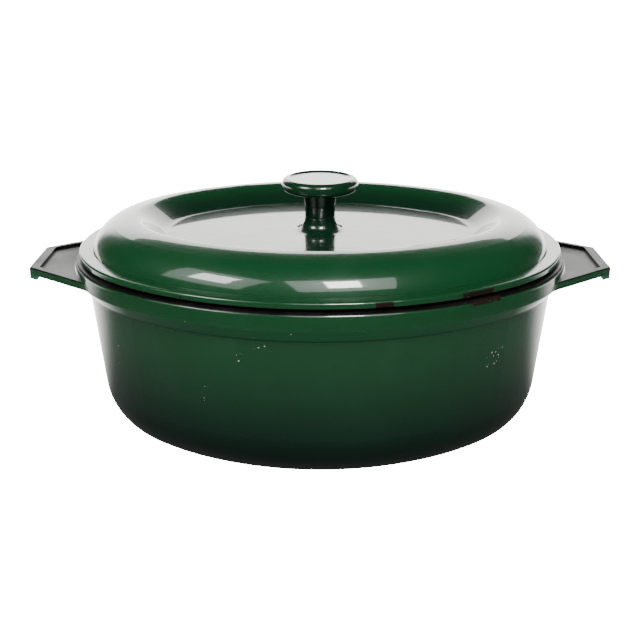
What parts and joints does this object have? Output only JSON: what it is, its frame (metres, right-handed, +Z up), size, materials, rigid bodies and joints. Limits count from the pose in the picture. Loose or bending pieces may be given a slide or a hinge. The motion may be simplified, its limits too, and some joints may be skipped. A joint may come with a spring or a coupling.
{
  "type": "covered casserole dish",
  "caption": "Oval enamelled cast-iron casserole pot with lug handles and a lift-off dished cover with a screwed-on knob.",
  "frame": {"origin": "on the table under the middle of the pot", "axes": "+X along the two lug handles, +Y across the pot, +Z up through the knob"},
  "size_m": [0.383, 0.261, 0.1702],
  "materials": {
    "green_enamel": "gloss enamel",
    "fastener_steel": "brushed"
  },
  "bodies": {
    "pot_body": {"pot": "green_enamel"},
    "cover_body": {"cover": "green_enamel", "knob": "green_enamel", "knob_screw": "fastener_steel", "knob_washer": "fastener_steel"}
  },
  "joints": [
    {"name": "cover_lift", "type": "slide", "parent": "pot_body", "child": "cover_body", "axis": [0, 0, 1], "range_m": [0, 0.15]}
  ]
}
